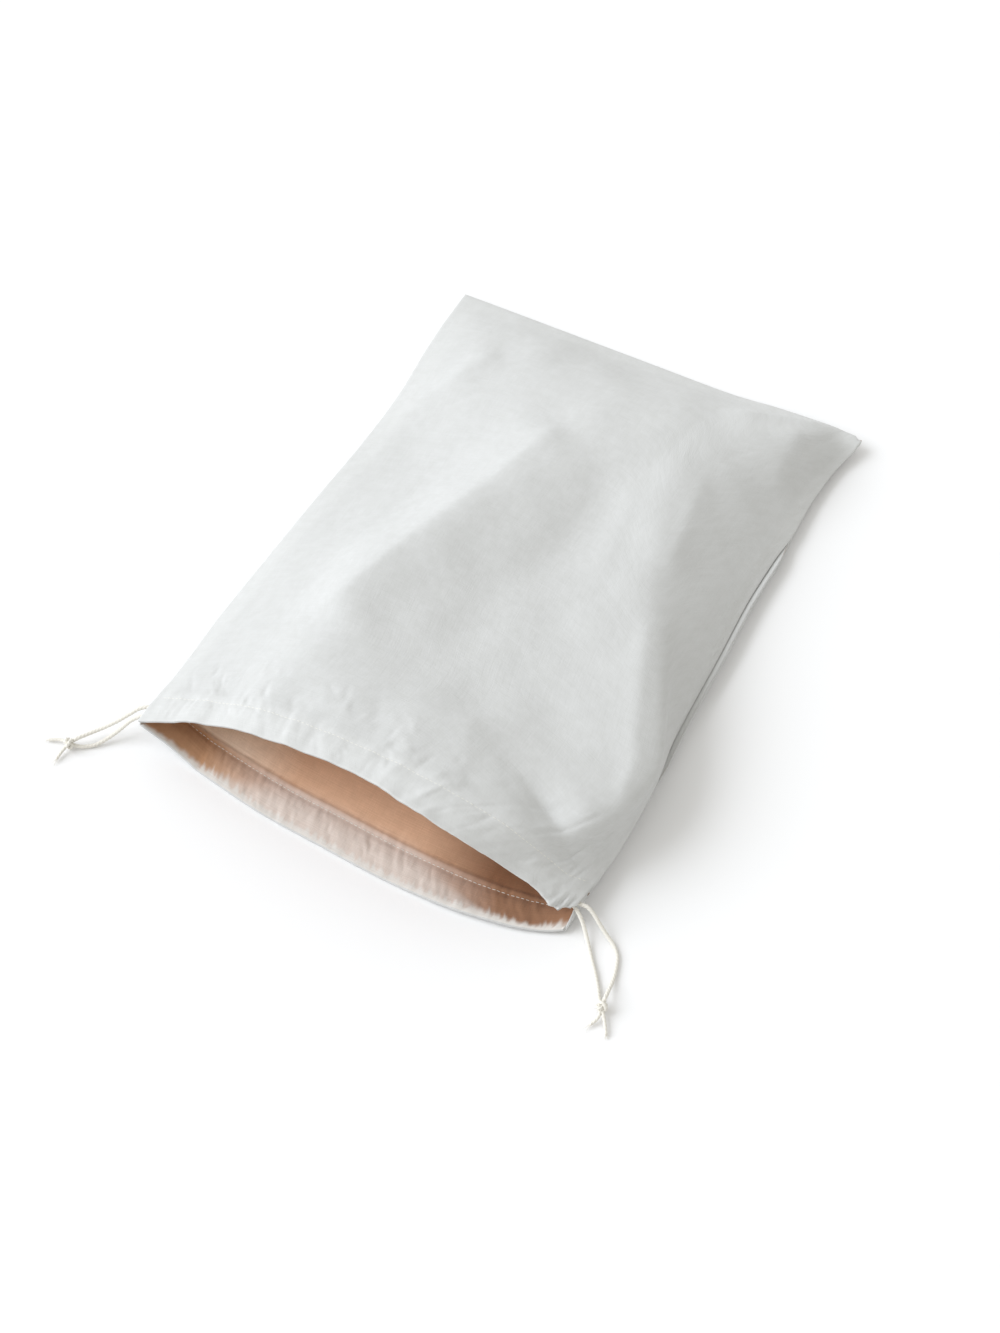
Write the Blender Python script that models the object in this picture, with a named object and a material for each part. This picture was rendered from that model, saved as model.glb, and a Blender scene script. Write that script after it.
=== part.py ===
"""Linen drawstring bread bag, lying with its mouth held open.

The bag is a front cloth (upper_panel) and a back cloth (lower_panel), sewn together along the
two sides and the closed end and hemmed at the mouth. A pair of drawcord ends leaves the hem at
each side seam and is knotted.

Frame: +Z up, the closed end towards +Y, the mouth towards -Y, the surface it lies on at z = 0.
Tables are in millimetres in the bag's own layout frame, and `placed` puts them in metres with
the cloth's box centred on the origin.
"""
import math
from collections import namedtuple

import bmesh
import bpy
import numpy as np

MM = 0.001
LAYOUT_CENTRE = (-2.33, -4.6)   # centre of the cloth's box in the layout frame, mm

# ---- cloth -------------------------------------------------------------------------------
CLOTH_THICKNESS = 1.5
HEM_THICKNESS = 2.6              # two turned layers and the cord channel between them
HEM_DEPTH = 19.0
HEM_STEP = 4.0                   # length over which the hem thins to a single layer
SEAM_GAP = 0.6                   # between the edges of the two cloths

# One row for each cross section of the front cloth, from the mouth to the closed end. Across a
# section the cloth climbs from the left seam to a ridge, dips in a hollow, passes a crest and
# falls down a right face to the right seam. A bulge is how far a slope stands out from straight.
Section = namedtuple("Section", (
    "along", "left_x", "left_z", "left_bulge", "ridge_x", "ridge_z",
    "hollow_x", "hollow_z", "crest_x", "crest_z", "right_bulge", "right_x", "right_z"))
SECTIONS = (
    Section(-192, -147, 20.0, 2.0, -60, 56, -5, 61, 58, 45, -2.0, 129.5, 13.5),
    Section(-150, -147.7, 13.5, -0.2, -69, 51, 4, 56.5, 115, 44.0, 2.0, 134, 11.0),
    Section(-105, -149, 9.5, -0.1, -68, 50, -5, 48.3, 130, 38.5, 3.8, 135, 10.0),
    Section(-50, -147.9, 6.0, -1.2, -63.5, 49.5, 3.5, 44.3, 112, 41, 1.0, 132.5, 9.5),
    Section(5, -145.6, 4.5, -4.3, -42, 46.4, 21.5, 40.3, 85.6, 42.2, 3.0, 132, 9.0),
    Section(55, -142.5, 3.7, -3.4, -25, 42, 24.5, 38.5, 70.5, 41.0, 2.6, 131, 8.0),
    Section(100, -141.2, 4.0, 3.6, -22.5, 37.5, 14, 40.1, 66.7, 39.5, 3.2, 133, 7.0),
    Section(150, -145, 3.0, 4.2, -19, 29.5, 29.5, 33.5, 84, 31.5, 3.8, 134.0, 6.5),
    Section(185, -146, 2.8, 4.0, -10, 11.2, 37, 14.8, 111, 18.8, 1.8, 137.0, 7.5),
    Section(204, -146, 2.1, 0.0, -8, 2.7, 50, 3.1, 118, 9.0, 0.0, 145, 9.0),
)
MOUTH_LEFT_LEAD = 6.0            # the left end of the front hem reaches this far past its row
MOUTH_RIGHT_LAG = 7.0            # the right end draws back by this, fading over ...
LAG_WIDTH = 16.0                 # ... this far across the cloth ...
LAG_LENGTH = 45.0                # ... and this far from the mouth
FAR_CORNER_LAG = 4.5             # the blunt far corner, in the same way
FAR_LAG_WIDTH = 9.0
FAR_LAG_LENGTH = 18.0
END_FLAT = 7.0                   # folds die out over this length before the closed end
# The front hem's rise over its row at each of a section's named points, and its lean as it rises
MOUTH_RISE = (0.0, -3.5, -4.5, -3.5, 6.5, 8.0, -1.5, 0.0)
MOUTH_LEAN = (0.313, -0.603, 1.0)

# Folds in the front cloth: a stretch in plan with a rounded edge, whose height dies away over a
# reach on either side (left and right of the way from start to end) and over its two ends
Fold = namedtuple("Fold", "start end height rounding left_reach right_reach end_fade")
FOLDS = (
    Fold((-80, -93), (-24.5, 96), 3.0, 1.6, 9.6, 15.3, 24.0),
    Fold((-142, 60), (-98, 152), 2.4, 1.6, 9.5, 9.5, 20.0),
    Fold((-134, 20), (-85, 100), -0.6, 6.0, 14.0, 14.0, 30.0),
    Fold((91, -17.5), (121, -98), 2.8, 3.0, 8.5, 14.5, 25.0),
    Fold((123.5, -93), (128.5, -129), 2.6, 2.7, 10.0, 7.5, 18.0),
    Fold((74, 106), (84.6, 30), 2.8, 3.0, 14.0, 11.5, 25.0),
    Fold((114.5, 167), (77, 111), 0.7, 4.0, 12.0, 12.0, 20.0),
    Fold((62, 172), (122, 201), 5.5, 1.6, 6.5, 10.5, 16.0),
    Fold((123, 183), (131, 146), -6.0, 3.5, 12.0, 8.0, 16.0),
    Fold((92, -172), (110, -160), -4.6, 5.5, 8.0, 28.0, 18.0),
)

# How far the back hem reaches past a straight line between the two corners of the mouth
MOUTH_BULGE = ((0.0, 0.0), (0.06, 0.6), (0.15, 5.9), (0.32, 15.4), (0.44, 19.2),
               (0.66, 25.0), (0.82, 24.8), (0.93, 19.6), (0.985, 14.0), (1.0, 12.0))
MOUTH_BULGE_REACH = 62.0         # the bulge fades out over this length of the back cloth
FOOT_MARGIN = 8.0                # a side of the back cloth leaves the surface this far in ...
FOOT_RATIO = 1.9                 # ... plus this many times the height of its seam
FOOT_POWER = 1.5
RIGHT_SEAM_ROLL = 2.6            # the back cloth rolls out past the right seam
DROOP = 0.75                     # share of its height that the back's right side loses at the mouth
DROOP_REACH = 22.0
END_FOOT = 24.0

# Gathers pulled into the hems by the drawcord: wave length along the hem and height
GATHERS = ((31.0, 0.35), (22.0, 0.3))
GATHER_REACH = 50.0

FRONT_ACROSS = (8, 9, 11, 9, 8, 8, 7)     # grid steps between the section's named points
FRONT_ALONG = (7, 6, 5, 5, 5, 5, 5, 4, 4)
BACK_SIDE_STEPS = 8
BACK_MIDDLE_STEPS = 14
BACK_ALONG = 30

# ---- ties --------------------------------------------------------------------------------
CORD_DIAMETER = 2.5
CORD_STEP = 6.0                  # spacing of the tube's points
CORD_SIDES_RESOLUTION = 2
KNOT_RADIUS = 3.9
KNOT_STANDOFF = 0.75             # from the ball to the middle of a strand's end
TAIL_DIAMETER = 2.2

# Routes run from the hem to the knot, layout frame; the last point is drawn in to the knot
ROUTES = {
    "left_strand_upper": ((-149.0, -187.0, 19.5), (-153.2, -189.4, 18.3), (-157.1, -192.8, 15.4),
                          (-163.5, -199.1, 10.8), (-168.4, -203.8, 8.0), (-173.1, -208.3, 6.2),
                          (-177.3, -213.4, 5.6), (-180.4, -217.6, 5.4)),
    "left_strand_lower": ((-148.4, -191.8, 17.3), (-155.0, -196.0, 13.6), (-160.0, -201.6, 8.2),
                          (-165.5, -208.7, 3.6), (-170.6, -214.8, 1.5), (-175.2, -218.4, 1.4),
                          (-179.0, -220.6, 2.2)),
    "right_strand_inner": ((129.4, -186.0, 11.0), (133.2, -188.2, 9.6), (137.0, -191.0, 6.8),
                           (141.2, -195.2, 3.6), (145.6, -200.6, 1.7), (150.0, -206.3, 1.3),
                           (154.8, -212.2, 1.3), (160.0, -219.4, 1.4), (164.4, -226.4, 2.2)),
    "right_strand_outer": ((130.8, -183.0, 12.0), (135.4, -182.8, 11.8), (139.8, -184.0, 9.8),
                           (145.0, -186.6, 6.6), (150.8, -189.4, 3.4), (156.4, -192.4, 1.6),
                           (161.2, -197.6, 1.3), (163.9, -204.6, 1.3), (165.6, -212.1, 1.8),
                           (166.6, -219.8, 4.0), (167.2, -225.8, 5.8)),
}
KNOTS = {
    "left_knot": {"centre": (-183.4, -222.1, 4.1), "turn": 48.0,
                  "strands": ("left_strand_upper", "left_strand_lower"),
                  "tails": (((-190.0, -221.6, 2.6), (-197.0, -224.6, 1.3)),
                            ((-184.8, -227.6, 2.6), (-185.2, -233.6, 1.3)))},
    "right_knot": {"centre": (167.6, -230.2, 4.1), "turn": -58.0,
                   "strands": ("right_strand_inner", "right_strand_outer"),
                   "tails": (((172.6, -236.8, 2.4), (176.6, -243.2, 1.3)),
                             ((168.2, -236.8, 2.6), (166.0, -241.6, 1.3)))},
}

MATERIALS = {
    "linen": {"colour": (0.80, 0.80, 0.78, 1.0), "roughness": 0.92},
    "cotton_cord": {"colour": (0.78, 0.77, 0.73, 1.0), "roughness": 0.85},
}


# ---- helpers -----------------------------------------------------------------------------
def placed(points):
    """Layout millimetres to world metres."""
    shift = np.array((LAYOUT_CENTRE[0], LAYOUT_CENTRE[1], 0.0))
    return (np.asarray(points, dtype=float) - shift) * MM


def smooth_through(stations, values, at):
    """A smooth curve through rows of values, read at the given stations (cubic Hermite)."""
    stations = np.asarray(stations, dtype=float)
    values = np.asarray(values, dtype=float)
    at = np.asarray(at, dtype=float)
    slopes = np.gradient(values, stations, axis=0)
    index = np.clip(np.searchsorted(stations, at, side="right") - 1, 0, len(stations) - 2)
    width = stations[index + 1] - stations[index]
    t = (at - stations[index]) / width
    if values.ndim > 1:
        t, width = t[:, None], width[:, None]
    h00 = (1 + 2 * t) * (1 - t) ** 2
    h10 = t * (1 - t) ** 2
    h01 = t * t * (3 - 2 * t)
    h11 = t * t * (t - 1)
    return (h00 * values[index] + h10 * width * slopes[index]
            + h01 * values[index + 1] + h11 * width * slopes[index + 1])


def stepped(stations, counts):
    """Each interval between stations divided into its own number of equal steps."""
    parts = [np.linspace(a, b, n, endpoint=False)
             for a, b, n in zip(stations[:-1], stations[1:], counts)]
    return np.concatenate(parts + [np.array(stations[-1:], dtype=float)])


def fade(distance, reach):
    """1 at the start, 0 from `reach` on, level at both ends."""
    t = np.clip(distance / reach, 0.0, 1.0)
    return 1 - t * t * (3 - 2 * t)


def make_material(name):
    settings = MATERIALS[name]
    material = bpy.data.materials.new(name)
    material.use_nodes = True
    shader = material.node_tree.nodes["Principled BSDF"]
    shader.inputs["Base Color"].default_value = settings["colour"]
    shader.inputs["Roughness"].default_value = settings["roughness"]
    shader.inputs["Metallic"].default_value = 0.0
    return material


def add_object(name, mesh, material):
    piece = bpy.data.objects.new(name, mesh)
    bpy.context.collection.objects.link(piece)
    mesh.materials.append(material)
    return piece


# ---- cloth -------------------------------------------------------------------------------
def section_points(section):
    """The eight named points of a cross section, left seam to right seam."""
    s = section
    left, ridge = np.array((s.left_x, s.left_z)), np.array((s.ridge_x, s.ridge_z))
    crest, right = np.array((s.crest_x, s.crest_z)), np.array((s.right_x, s.right_z))

    def bulged(a, b, bulge):
        run = b - a
        outward = np.array((-run[1], run[0])) / np.hypot(*run)
        return (a + b) / 2 + outward * bulge

    hollow = np.array((s.hollow_x, s.hollow_z))
    shoulder = (hollow + crest) / 2 + np.array((0.0, 0.8))
    flat = np.stack((left, bulged(left, ridge, s.left_bulge), ridge, hollow,
                     shoulder, crest, bulged(crest, right, s.right_bulge), right))
    return np.stack((flat[:, 0], np.full(8, float(s.along)), flat[:, 1]), axis=1)


def fold_lift(x, y):
    """Height that the folds add at a place in plan: height * exp(-rounded distance / reach)."""
    lift = np.zeros_like(x)
    for fold in FOLDS:
        start, end = np.array(fold.start, float), np.array(fold.end, float)
        length = np.hypot(*(end - start))
        run = (end - start) / length
        along = (x - start[0]) * run[0] + (y - start[1]) * run[1]
        aside = (y - start[1]) * run[0] - (x - start[0]) * run[1]
        distance = np.sqrt(aside ** 2 + fold.rounding ** 2) - fold.rounding
        reach = np.where(aside > 0, fold.left_reach, fold.right_reach)
        inside = np.minimum(along, length - along) + fold.end_fade / 2
        lift += fold.height * np.exp(-distance / reach) * (1 - fade(inside, fold.end_fade))
    return lift


def gather_lift(run_across, from_mouth):
    """Waves of the gathered hem, fading into the cloth."""
    lift = np.zeros_like(run_across)
    for length, height in GATHERS:
        lift += height * np.sin(2 * math.pi * run_across / length + length)
    return lift * fade(from_mouth, GATHER_REACH)


def front_underside():
    """Underside of the front cloth: (rows along, columns across, xyz)."""
    sections = np.stack([section_points(s) for s in SECTIONS])
    sections[0, 0, 1] -= MOUTH_LEFT_LEAD
    sections[0] += np.outer(MOUTH_RISE, MOUTH_LEAN)
    stations = [s.along for s in SECTIONS]
    along = stepped(stations, FRONT_ALONG)
    rails = np.stack([smooth_through(stations, sections[:, k], along) for k in range(8)], axis=1)
    across = stepped(range(8), FRONT_ACROSS)
    grid = np.stack([smooth_through(np.arange(8.0), row, across) for row in rails])
    aside = grid[:, -1:, 0] - grid[..., 0]
    near_mouth, near_end = along - along[0], along[-1] - along
    grid[..., 1] += (MOUTH_RIGHT_LAG * fade(aside, LAG_WIDTH)
                     * fade(near_mouth, LAG_LENGTH)[:, None])
    grid[..., 1] -= (FAR_CORNER_LAG * fade(aside, FAR_LAG_WIDTH)
                     * fade(near_end, FAR_LAG_LENGTH)[:, None])
    edge = np.minimum(across, 7 - across)[None, :]
    inner = 1 - fade(edge, 0.8)
    end = 1 - fade(near_end, END_FLAT)[:, None]
    lift = fold_lift(grid[..., 0], grid[..., 1]) * inner * end
    from_mouth = (along - along[0])[:, None] + 0 * edge
    lift += gather_lift(grid[..., 0], from_mouth) * inner
    grid[..., 2] += lift
    return grid, from_mouth


def back_underside(front):
    """Underside of the back cloth, on the surface but for its sides, which follow the seams."""
    rows = np.linspace(0, len(front) - 1, BACK_ALONG + 1)
    pick = np.round(rows).astype(int)
    left, right = front[pick, 0], front[pick, -1]
    from_hem = front[pick, 1, 1] - front[0, 1, 1]
    drop = cloth_thickness(from_hem) + SEAM_GAP
    left_z = left[:, 2] - drop
    right_z = (right[:, 2] - drop) * (1 - DROOP * fade(from_hem, DROOP_REACH))
    left_foot = left[:, 0] + FOOT_MARGIN + FOOT_RATIO * left_z
    right_foot = right[:, 0] - FOOT_MARGIN - FOOT_RATIO * right_z
    climb = np.linspace(1, 0, BACK_SIDE_STEPS, endpoint=False)
    middle = np.linspace(0, 1, BACK_MIDDLE_STEPS + 1)
    columns = []
    for s in climb:
        columns.append((left_foot + (left[:, 0] - left_foot) * s, left_z * s ** FOOT_POWER))
    for m in middle:
        columns.append((left_foot + (right_foot - left_foot) * m, 0 * left_z))
    for s in climb[::-1]:
        roll = RIGHT_SEAM_ROLL * math.sin(math.pi * s) * np.clip(right_z / 8.0, 0.0, 1.0)
        columns.append((right_foot + (right[:, 0] - right_foot) * s + roll,
                        right_z * s ** FOOT_POWER))
    x = np.stack([c[0] for c in columns], axis=1)
    z = np.stack([c[1] for c in columns], axis=1)
    share = (x - x[:, :1]) / (x[:, -1:] - x[:, :1])
    y = left[:, 1:2] + (right[:, 1:2] - left[:, 1:2]) * share
    end_edge = np.interp(x, front[-1, :, 0], front[-1, :, 2]) - drop[-1]
    from_end = front[-1, 0, 1] - y
    z = np.maximum(z, end_edge * fade(from_end, END_FOOT))
    bulge = smooth_through([b[0] for b in MOUTH_BULGE], [b[1] for b in MOUTH_BULGE],
                           share.ravel()).reshape(share.shape)
    from_mouth = (left[:, 1] - left[0, 1])[:, None] + 0 * share
    y = y - bulge * fade(from_mouth, MOUTH_BULGE_REACH)
    return np.stack((x, y, z), axis=-1), from_mouth


def cloth_thickness(from_mouth):
    return CLOTH_THICKNESS + (HEM_THICKNESS - CLOTH_THICKNESS) * fade(
        from_mouth - HEM_DEPTH, HEM_STEP)


def thickened(under, thickness):
    """A closed sheet: the underside, the same grid raised along its normals, and a rim."""
    normal = np.cross(np.gradient(under, axis=1), np.gradient(under, axis=0))
    normal /= np.linalg.norm(normal, axis=-1, keepdims=True)
    upper = under + normal * thickness[..., None]
    rows, columns = under.shape[:2]
    count = rows * columns
    ids = np.arange(count).reshape(rows, columns)
    a, b, c, d = ids[:-1, :-1], ids[:-1, 1:], ids[1:, 1:], ids[1:, :-1]
    top = np.stack((a, b, c, d), axis=-1).reshape(-1, 4) + count
    bottom = np.stack((a, d, c, b), axis=-1).reshape(-1, 4)
    rim = np.concatenate((ids[0, :], ids[1:, -1], ids[-1, -2::-1], ids[-2:0:-1, 0]))
    onward = np.roll(rim, -1)
    wall = np.stack((rim, onward, onward + count, rim + count), axis=-1)
    points = np.concatenate((under.reshape(-1, 3), upper.reshape(-1, 3)))
    return points, np.concatenate((top, bottom, wall))


def build_cloth(name, under, from_mouth, material):
    points, faces = thickened(under, cloth_thickness(from_mouth))
    mesh = bpy.data.meshes.new(name)
    mesh.from_pydata(placed(points).tolist(), [], faces.tolist())
    work = bmesh.new()
    work.from_mesh(mesh)
    bmesh.ops.triangulate(work, faces=work.faces[:])
    work.to_mesh(mesh)
    work.free()
    mesh.shade_smooth()
    mesh.set_sharp_from_angle(angle=math.radians(50))
    return add_object(name, mesh, material)


# ---- ties --------------------------------------------------------------------------------
def drawn_to_knot(route, centre):
    """The route with its last point moved to stand just off the knot's ball."""
    route, centre = np.array(route), np.array(centre)
    away = route[-1] - centre
    route[-1] = centre + away / np.linalg.norm(away) * (KNOT_RADIUS + KNOT_STANDOFF)
    return route


def build_strand(name, route, material):
    """A free length of drawcord: a round tube along a smooth curve through its route."""
    travelled = np.concatenate(([0.0], np.cumsum(np.linalg.norm(np.diff(route, axis=0), axis=1))))
    count = int(round(travelled[-1] / CORD_STEP)) + 1
    points = placed(smooth_through(travelled, route, np.linspace(0, travelled[-1], count)))
    curve = bpy.data.curves.new(name, "CURVE")
    curve.dimensions = "3D"
    curve.bevel_depth = CORD_DIAMETER / 2 * MM
    curve.bevel_resolution = CORD_SIDES_RESOLUTION
    curve.use_fill_caps = True
    spline = curve.splines.new("POLY")
    spline.points.add(count - 1)
    for spot, point in zip(spline.points, points):
        spot.co = (*point, 1.0)
    return add_object(name, curve, material)


def lump_mesh(name, make):
    """A closed mesh from a bmesh recipe, faces pointing out."""
    work = bmesh.new()
    make(work)
    bmesh.ops.recalc_face_normals(work, faces=work.faces[:])
    mesh = bpy.data.meshes.new(name)
    work.to_mesh(mesh)
    work.free()
    return mesh


def knot_body(work):
    """The knot's ball: a sphere with two diagonal turns of cord raised on it."""
    bmesh.ops.create_uvsphere(work, u_segments=14, v_segments=9, radius=1.0)
    for vert in work.verts:
        x, y, z = vert.co
        turns = math.cos(2 * math.atan2(z, x) + 2.4 * y)
        vert.co *= KNOT_RADIUS * (0.95 + 0.05 * turns)


def build_knot(name, settings, material):
    """An overhand knot with its two loose tails, fused into one solid."""
    centre = np.array(settings["centre"])
    body = bpy.data.objects.new(name, lump_mesh(name, knot_body))
    bpy.context.collection.objects.link(body)
    turn = math.radians(settings["turn"])
    spin = np.array(((math.cos(turn), -math.sin(turn), 0.0),
                     (math.sin(turn), math.cos(turn), 0.0), (0.0, 0.0, 1.0)))
    for vert in body.data.vertices:
        vert.co = placed(spin @ np.array(vert.co) * (1.0, 1.0, 0.96) + centre)
    for number, (middle, tip) in enumerate(settings["tails"]):
        tail = make_tail(f"{name}_tail_{number}", centre, middle, tip)
        union = body.modifiers.new(f"tail_{number}", "BOOLEAN")
        union.operation = "UNION"
        union.solver = "EXACT"
        union.object = tail
    body.data.materials.append(material)
    return body


def make_tail(name, centre, middle, tip):
    """One loose tail as a bent tube with a slightly opened end; it only feeds the union."""
    path = np.array((centre, middle, tip))
    steps = smooth_through((0.0, 0.5, 1.0), path, np.linspace(0.15, 1.0, 5))

    def recipe(work):
        curve_tube(work, steps, TAIL_DIAMETER / 2, 8)

    tail = bpy.data.objects.new(name, lump_mesh(name, recipe))
    bpy.context.collection.objects.link(tail)
    for vert in tail.data.vertices:
        vert.co = placed(np.array(vert.co))
    tail.hide_render = True
    tail.display_type = "WIRE"
    return tail


def curve_tube(work, steps, radius, sides):
    """A capped tube along a few points."""
    along = np.gradient(steps, axis=0)
    rings = []
    for centre, run in zip(steps, along):
        run = run / np.linalg.norm(run)
        aside = np.cross(run, (0.0, 0.0, 1.0))
        aside /= np.linalg.norm(aside)
        upward = np.cross(aside, run)
        angles = 2 * math.pi * np.arange(sides) / sides
        ring = centre + radius * (np.cos(angles)[:, None] * aside
                                  + np.sin(angles)[:, None] * upward)
        rings.append([work.verts.new(point) for point in ring])
    for first, second in zip(rings[:-1], rings[1:]):
        for k in range(sides):
            after = (k + 1) % sides
            work.faces.new((first[k], second[k], second[after], first[after]))
    work.faces.new(rings[0])
    work.faces.new(rings[-1][::-1])


# ---- the bag -----------------------------------------------------------------------------
def main():
    for leftover in list(bpy.data.objects):
        bpy.data.objects.remove(leftover, do_unlink=True)
    linen = make_material("linen")
    cord = make_material("cotton_cord")
    front, front_from_mouth = front_underside()
    back, back_from_mouth = back_underside(front)
    build_cloth("upper_panel", front, front_from_mouth, linen)
    build_cloth("lower_panel", back, back_from_mouth, linen)
    for name, settings in KNOTS.items():
        for strand in settings["strands"]:
            build_strand(strand, drawn_to_knot(ROUTES[strand], settings["centre"]), cord)
        build_knot(name, settings, cord)


main()
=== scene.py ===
import math
import time

import bpy
import numpy as np
from mathutils import Matrix, Vector


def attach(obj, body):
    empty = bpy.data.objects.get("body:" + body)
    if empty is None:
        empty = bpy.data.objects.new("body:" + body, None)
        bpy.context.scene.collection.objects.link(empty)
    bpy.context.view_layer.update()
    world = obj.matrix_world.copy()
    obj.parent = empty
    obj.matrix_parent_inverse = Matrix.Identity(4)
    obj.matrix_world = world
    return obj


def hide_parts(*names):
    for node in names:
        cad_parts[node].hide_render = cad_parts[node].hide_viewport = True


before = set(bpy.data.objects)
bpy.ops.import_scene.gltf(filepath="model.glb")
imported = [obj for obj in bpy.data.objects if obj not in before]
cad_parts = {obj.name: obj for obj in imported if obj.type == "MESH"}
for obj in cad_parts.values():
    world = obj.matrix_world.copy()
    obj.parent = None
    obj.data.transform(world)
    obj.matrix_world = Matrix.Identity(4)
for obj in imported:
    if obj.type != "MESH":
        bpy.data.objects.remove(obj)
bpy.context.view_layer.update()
started = time.time()

mm = 0.001
layoutCentre = np.array((-2.33, -4.6, 0.0))     # the bag's layout frame, mm, to the part's frame


def report(stage):
    # one line for each stage, with the seconds so far
    print(f"{time.time() - started:6.1f} s  {stage}")


def placed(points):
    # layout millimetres to metres in the part's frame
    return (np.asarray(points, dtype=float) - layoutCentre) * mm


# the camera stands off the right mouth corner and looks down into the mouth; degrees and mm
shot = {
    "azimuth": 27.4,
    "elevation": 55.8,
    "distance": 1260.0,
    "aim": (24.0, -73.0, 30.0),
    "focal": 58.06,
    "sensor": 36.0,
    "clipStart": 10.0,
}


def makeCamera():
    # back runs from the aim to the camera, turned by the azimuth from -y and up by the elevation
    a, e = math.radians(shot["azimuth"]), math.radians(shot["elevation"])
    back = np.array((math.sin(a) * math.cos(e), -math.cos(a) * math.cos(e), math.sin(e)))
    right = np.array((math.cos(a), math.sin(a), 0.0))
    up = np.cross(back, right)
    spot = placed(np.array(shot["aim"]) + back * shot["distance"])
    data = bpy.data.cameras.new("camera")
    data.lens = shot["focal"]
    data.sensor_width = shot["sensor"]
    data.clip_start = shot["clipStart"] * mm
    camera = bpy.data.objects.new("camera", data)
    bpy.context.collection.objects.link(camera)
    rows = [(right[k], up[k], back[k], spot[k]) for k in range(3)] + [(0, 0, 0, 1)]
    camera.matrix_world = Matrix(rows)
    bpy.context.scene.camera = camera


makeCamera()
report("camera")


def hexColour(text, alpha=1.0):
    # sRGB hex to the linear values that the shader reads
    values = [int(text[k:k + 2], 16) / 255 for k in (1, 3, 5)]
    linear = [v / 12.92 if v <= 0.04045 else ((v + 0.055) / 1.055) ** 2.4 for v in values]
    return (*linear, alpha)


def addNode(tree, kind, settings=None, links=None):
    # settings name sockets (by name or number) or properties; links give (node, output) by socket
    node = tree.nodes.new(kind)
    for key, value in (settings or {}).items():
        if isinstance(key, int):
            node.inputs[key].default_value = value
        elif key in node.inputs and not hasattr(node, key):
            node.inputs[key].default_value = value
        else:
            setattr(node, key, value)
    for key, (source, output) in (links or {}).items():
        tree.links.new(source.outputs[output], node.inputs[key])
    return node


def freshMaterial(name):
    # a material with an empty node tree
    material = bpy.data.materials.new(name)
    material.use_nodes = True
    material.node_tree.nodes.clear()
    return material, material.node_tree


def newPiece(name, points, faces, materials, faceMaterial=None, uv=None, tint=None):
    # a mesh at the origin from whole arrays; uv and tint hold a row for each point
    points, faces = np.asarray(points, dtype=np.float32), np.asarray(faces, dtype=np.int32)
    sides = faces.shape[1]
    mesh = bpy.data.meshes.new(name)
    mesh.vertices.add(len(points))
    mesh.vertices.foreach_set("co", points.ravel())
    mesh.loops.add(faces.size)
    mesh.loops.foreach_set("vertex_index", faces.ravel())
    mesh.polygons.add(len(faces))
    mesh.polygons.foreach_set("loop_start", np.arange(0, faces.size, sides, dtype=np.int32))
    if faceMaterial is not None:
        mesh.polygons.foreach_set("material_index", np.asarray(faceMaterial, dtype=np.int32))
    if uv is not None:
        layer = mesh.uv_layers.new(name="cloth")
        layer.data.foreach_set("uv", np.asarray(uv, dtype=np.float32)[faces.ravel()].ravel())
    if tint is not None:
        layer = mesh.color_attributes.new(name="tint", type="FLOAT_COLOR", domain="POINT")
        layer.data.foreach_set("color", np.asarray(tint, dtype=np.float32).ravel())
    mesh.update(calc_edges=True)
    mesh.validate()
    mesh.shade_smooth()
    for material in materials:
        mesh.materials.append(material)
    piece = bpy.data.objects.new(name, mesh)
    bpy.context.collection.objects.link(piece)
    return piece


def smoothThrough(stations, values, at):
    # cubic Hermite curve: meets every row of values, its slopes taken between the neighbours
    stations, values, at = (np.asarray(a, dtype=float) for a in (stations, values, at))
    slopes = np.gradient(values, stations, axis=0)
    index = np.clip(np.searchsorted(stations, at, side="right") - 1, 0, len(stations) - 2)
    width = stations[index + 1] - stations[index]
    t = (at - stations[index]) / width
    if values.ndim > 1:
        t, width = t[:, None], width[:, None]
    return ((1 + 2 * t) * (1 - t) ** 2 * values[index]
            + t * (1 - t) ** 2 * width * slopes[index]
            + t * t * (3 - 2 * t) * values[index + 1]
            + t * t * (t - 1) * width * slopes[index + 1])


def stepped(stations, counts):
    # each interval between stations divided into its own number of equal steps
    parts = [np.linspace(a, b, n, endpoint=False)
             for a, b, n in zip(stations[:-1], stations[1:], counts)]
    return np.concatenate(parts + [np.array(stations[-1:], dtype=float)])


def fade(distance, reach):
    # 1 - t * t * (3 - 2 t): 1 at the start, 0 from the reach on, level at both ends
    t = np.clip(distance / reach, 0.0, 1.0)
    return 1 - t * t * (3 - 2 * t)


def unit(vectors):
    # each vector over its length
    return vectors / np.linalg.norm(vectors, axis=-1, keepdims=True)


def gridNormals(grid):
    # the cross product of the steps across and along: up on a sheet that lies flat
    return unit(np.cross(np.gradient(grid, axis=1), np.gradient(grid, axis=0)))


def arcLength(points, axis):
    # distance travelled from 0 along a path, or over a grid along one axis
    steps = np.linalg.norm(np.diff(points, axis=axis), axis=-1)
    start = np.zeros_like(np.take(steps, [0], axis=axis))
    return np.cumsum(np.concatenate((start, steps), axis=axis), axis=axis)


def gridFaces(ids, flipped=False):
    # quads between the neighbours in a grid of point numbers, each listed round its corners
    a, b, c, d = ids[:-1, :-1], ids[:-1, 1:], ids[1:, 1:], ids[1:, :-1]
    quads = (a, d, c, b) if flipped else (a, b, c, d)
    return np.stack(quads, axis=-1).reshape(-1, 4)


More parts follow.
